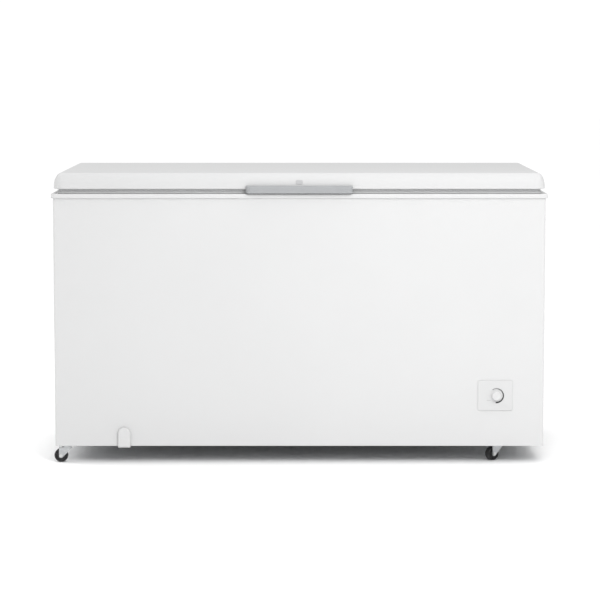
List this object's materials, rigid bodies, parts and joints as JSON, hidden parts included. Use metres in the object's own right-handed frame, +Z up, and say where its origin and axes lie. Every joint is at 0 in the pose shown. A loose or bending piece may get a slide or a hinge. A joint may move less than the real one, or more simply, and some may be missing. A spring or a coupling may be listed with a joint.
{
  "type": "chest freezer",
  "caption": "Wide chest freezer on swivel casters: hinged insulated lid, gasketed cabinet with stepped liner, hanging basket, front control knob and drain.",
  "frame": {"origin": "on the floor, under the middle of the freezer's bounding box", "axes": "front faces -Y, +X is the viewer's right from the front, +Z up"},
  "size_m": [1.432, 0.734, 0.845],
  "materials": {
    "white_enamel": "satin",
    "white_plastic": "satin",
    "control_plastic": "satin",
    "knob_plastic": "satin",
    "lid_enamel": "satin",
    "liner_aluminium": "satin",
    "galvanised_sheet": "satin",
    "foam": "matte",
    "tube_steel": "satin",
    "copper": "satin",
    "compressor_black": "satin",
    "black_plastic": "matte",
    "black_rubber": "matte",
    "zinc_fasteners": "satin",
    "grey_plastic": "satin",
    "badge_silver": "satin",
    "handle_grey": "satin",
    "gasket_grey": "matte",
    "hinge_steel": "satin",
    "spring_steel": "satin",
    "wheel_black": "matte",
    "basket_wire": "gloss"
  },
  "bodies": {
    "cabinet": {"outer_wrap": "white_enamel", "back_panel": "white_enamel", "base_panel": "galvanised_sheet", "inner_liner": "liner_aluminium", "cabinet_insulation": "foam", "top_frame": "white_plastic", "machine_wall": "galvanised_sheet", "evaporator_coil": "tube_steel", "condenser_coil": "tube_steel", "compressor_tray": "galvanised_sheet", "compressor_shell": "compressor_black", "compressor_terminal_cover": "black_plastic", "compressor_grommets": "black_rubber", "compressor_bolts": "zinc_fasteners", "filter_drier": "copper", "capillary_tube": "copper", "suction_line": "copper", "discharge_line": "copper", "thermostat_body": "black_plastic", "control_panel": "control_plastic", "rear_cover": "galvanised_sheet", "rear_cover_screws": "zinc_fasteners", "cord_gland": "black_plastic", "side_vent_grille": "white_plastic", "drain_tube": "grey_plastic", "hinge_bracket_left": "hinge_steel", "hinge_bracket_right": "hinge_steel", "hinge_pins": "zinc_fasteners", "hinge_screws": "zinc_fasteners", "caster_plates": "galvanised_sheet", "caster_screws": "zinc_fasteners", "hinge_spring_left": "spring_steel", "hinge_spring_right": "spring_steel"},
    "lid": {"lid_outer_panel": "lid_enamel", "lid_insulation": "foam", "lid_inner_panel": "liner_aluminium", "lid_gasket": "gasket_grey", "lid_handle": "handle_grey", "lid_badge": "badge_silver", "hinge_leaf_left": "hinge_steel", "hinge_leaf_right": "hinge_steel", "lid_hinge_screws": "zinc_fasteners"},
    "hinge_plungers": {"hinge_plunger_left": "black_plastic", "hinge_plunger_right": "black_plastic"},
    "knob": {"thermostat_knob": "knob_plastic"},
    "drain_cap": {"drain_cap": "white_plastic"},
    "drain_plug": {"drain_plug": "grey_plastic"},
    "basket": {"wire_basket": "basket_wire"},
    "caster_fl": {"caster_fork_fl": "galvanised_sheet", "caster_axle_fl": "zinc_fasteners"},
    "wheel_fl": {"caster_wheel_fl": "wheel_black"},
    "caster_fr": {"caster_fork_fr": "galvanised_sheet", "caster_axle_fr": "zinc_fasteners"},
    "wheel_fr": {"caster_wheel_fr": "wheel_black"},
    "caster_rl": {"caster_fork_rl": "galvanised_sheet", "caster_axle_rl": "zinc_fasteners"},
    "wheel_rl": {"caster_wheel_rl": "wheel_black"},
    "caster_rr": {"caster_fork_rr": "galvanised_sheet", "caster_axle_rr": "zinc_fasteners"},
    "wheel_rr": {"caster_wheel_rr": "wheel_black"}
  },
  "joints": [
    {"name": "lid_open", "type": "hinge", "parent": "cabinet", "child": "lid", "pos_m": [0, 0.359, 0.799], "axis": [-1, 0, 0], "range_deg": [0, 80]},
    {"name": "hinge_plungers_rise", "type": "slide", "parent": "cabinet", "child": "hinge_plungers", "axis": [0, 0, 1], "range_m": [0, 0.014], "deforming": ["hinge_spring_left", "hinge_spring_right"]},
    {"name": "knob_turn", "type": "hinge", "parent": "cabinet", "child": "knob", "pos_m": [0.572, -0.355, 0.199], "axis": [0, 1, 0], "range_deg": [0, 300]},
    {"name": "drain_cap_pull", "type": "slide", "parent": "cabinet", "child": "drain_cap", "axis": [0, -1, 0], "range_m": [0, 0.05]},
    {"name": "drain_plug_lift", "type": "slide", "parent": "cabinet", "child": "drain_plug", "axis": [0, 0, 1], "range_m": [0, 0.06]},
    {"name": "basket_slide", "type": "slide", "parent": "cabinet", "child": "basket", "axis": [1, 0, 0], "range_m": [0, 0.88]},
    {"name": "caster_swivel_fl", "type": "hinge", "parent": "cabinet", "child": "caster_fl", "pos_m": [-0.677, -0.319, 0.043], "axis": [0, 0, 1], "continuous": true},
    {"name": "wheel_spin_fl", "type": "hinge", "parent": "caster_fl", "child": "wheel_fl", "pos_m": [-0.695, -0.319, 0.02], "axis": [0, -1, 0], "continuous": true},
    {"name": "caster_swivel_fr", "type": "hinge", "parent": "cabinet", "child": "caster_fr", "pos_m": [0.58, -0.277, 0.043], "axis": [0, 0, 1], "continuous": true},
    {"name": "wheel_spin_fr", "type": "hinge", "parent": "caster_fr", "child": "wheel_fr", "pos_m": [0.56525, -0.28732, 0.02], "axis": [0.5736, -0.8192, 0], "continuous": true},
    {"name": "caster_swivel_rl", "type": "hinge", "parent": "cabinet", "child": "caster_rl", "pos_m": [-0.677, 0.273, 0.043], "axis": [0, 0, 1], "continuous": true},
    {"name": "wheel_spin_rl", "type": "hinge", "parent": "caster_rl", "child": "wheel_rl", "pos_m": [-0.68857, 0.28679, 0.02], "axis": [-0.766, -0.6428, 0], "continuous": true},
    {"name": "caster_swivel_rr", "type": "hinge", "parent": "cabinet", "child": "caster_rr", "pos_m": [0.62, 0.263, 0.043], "axis": [0, 0, 1], "continuous": true},
    {"name": "wheel_spin_rr", "type": "hinge", "parent": "caster_rr", "child": "wheel_rr", "pos_m": [0.60309, 0.26916, 0.02], "axis": [-0.342, -0.9397, 0], "continuous": true}
  ],
  "couplings": [
    {"joint": "hinge_plungers_rise", "follows": "lid_open", "m_per_rad": 0.01}
  ]
}
